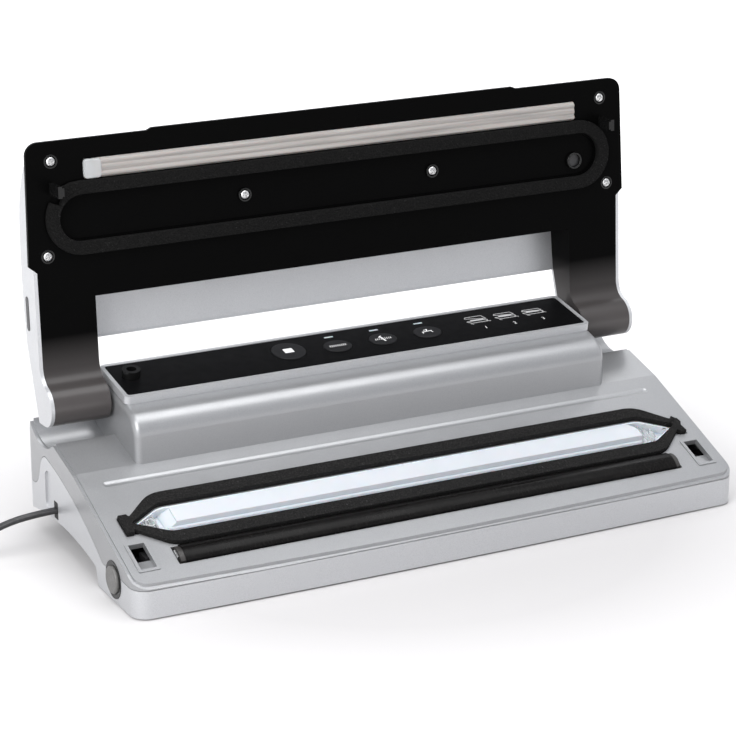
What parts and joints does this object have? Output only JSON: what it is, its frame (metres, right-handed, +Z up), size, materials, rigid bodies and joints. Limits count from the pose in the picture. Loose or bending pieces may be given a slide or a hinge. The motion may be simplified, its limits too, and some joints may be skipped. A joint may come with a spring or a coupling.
{
  "type": "vacuum sealer",
  "caption": "Long low film sealer: sloping deck with gasketed vacuum chamber and seal bar, humped control panel, and a lid swinging on two broad arms.",
  "frame": {"origin": "on the table, under the middle of the object, cord left out", "axes": "+X along the seal bar to the user's right, -Y towards the user, +Z up"},
  "size_m": [0.5567, 0.1728, 0.2422],
  "materials": {
    "silver_paint": "satin silver paint over moulded ABS",
    "silver_light": "satin silver paint over moulded ABS",
    "black_gloss": "polished moulded ABS",
    "panel_black": "printed semi-gloss overlay",
    "key_black": "fine satin",
    "light_pipe": "frosted clear",
    "pcb": "solder mask",
    "foam": "open sponge rubber",
    "frosted": "frosted translucent",
    "bar": "heat-resistant phenolic",
    "wire": "flat resistance wire",
    "tape": "PTFE-coated glass cloth",
    "brass": "plain",
    "grey_plastic": "fine texture",
    "black_plastic": "satin",
    "spring_steel": "music wire",
    "rubber": "moulded",
    "steel": "zinc plated",
    "motor_steel": "plated can",
    "core": "laminated core and windings",
    "hose": "silicone",
    "bush": "acetal",
    "silicone": "ribbed silicone",
    "cord": "PVC sheath"
  },
  "bodies": {
    "base": {"lower_housing": "silver_light", "upper_housing": "silver_paint", "panel_rim": "silver_light", "control_panel": "panel_black", "key_lights": "light_pipe", "control_board": "pcb", "hose_port": "black_plastic", "lower_gasket": "foam", "chamber_tray": "frosted", "seal_bar": "bar", "heating_wire": "wire", "ptfe_tape": "tape", "bar_terminals": "steel", "button_ring_left": "black_plastic", "button_ring_right": "black_plastic", "release_spring_left": "spring_steel", "release_spring_right": "spring_steel", "rubber_feet": "rubber", "housing_screws": "steel", "vacuum_pump": "black_plastic", "pump_motor": "motor_steel", "transformer": "core", "vacuum_hose": "hose", "hinge_pins": "steel", "cord_gland": "black_plastic", "power_cord": "cord", "cord_coil": "cord", "cord_tail": "cord", "plug_body": "cord", "plug_pins": "brass"},
    "lid": {"lid_shell": "silver_light", "lid_plate": "black_gloss", "lid_gasket": "foam", "pressure_strip": "silicone", "latch_hook_left": "black_plastic", "latch_hook_right": "black_plastic", "lid_screws": "steel", "arm_inserts": "black_plastic", "hinge_bushes": "bush"},
    "release_left": {"release_button_left": "grey_plastic", "latch_catch_left": "black_plastic"},
    "release_right": {"release_button_right": "grey_plastic", "latch_catch_right": "black_plastic"},
    "stop_button": {"stop_key": "key_black"},
    "seal_button": {"seal_key": "key_black"},
    "vacuum_seal_button": {"vacuum_seal_key": "key_black"},
    "canister_button": {"canister_key": "key_black"},
    "pump_rotor": {"motor_shaft": "steel", "pump_eccentric": "brass"}
  },
  "joints": [
    {"name": "lid_hinge", "type": "hinge", "parent": "base", "child": "lid", "pos_m": [0, 0.0586, 0.0853], "axis": [1, 0, 0], "range_deg": [0, 114.4]},
    {"name": "release_left_press", "type": "slide", "parent": "base", "child": "release_left", "axis": [1, 0, 0], "range_m": [0, 0.003], "stiffness_N_per_m": 400, "deforming": ["release_spring_left"]},
    {"name": "release_right_press", "type": "slide", "parent": "base", "child": "release_right", "axis": [-1, 0, 0], "range_m": [0, 0.003], "stiffness_N_per_m": 400, "deforming": ["release_spring_right"]},
    {"name": "stop_press", "type": "slide", "parent": "base", "child": "stop_button", "axis": [0, 0.1668, -0.986], "range_m": [0, 0.0008], "stiffness_N_per_m": 600},
    {"name": "seal_press", "type": "slide", "parent": "base", "child": "seal_button", "axis": [0, 0.1668, -0.986], "range_m": [0, 0.0008], "stiffness_N_per_m": 600},
    {"name": "vacuum_seal_press", "type": "slide", "parent": "base", "child": "vacuum_seal_button", "axis": [0, 0.1668, -0.986], "range_m": [0, 0.0008], "stiffness_N_per_m": 600},
    {"name": "canister_press", "type": "slide", "parent": "base", "child": "canister_button", "axis": [0, 0.1668, -0.986], "range_m": [0, 0.0008], "stiffness_N_per_m": 600},
    {"name": "motor_spin", "type": "hinge", "parent": "base", "child": "pump_rotor", "pos_m": [0.078, 0.0446, 0.042], "axis": [1, 0, 0], "continuous": true}
  ]
}
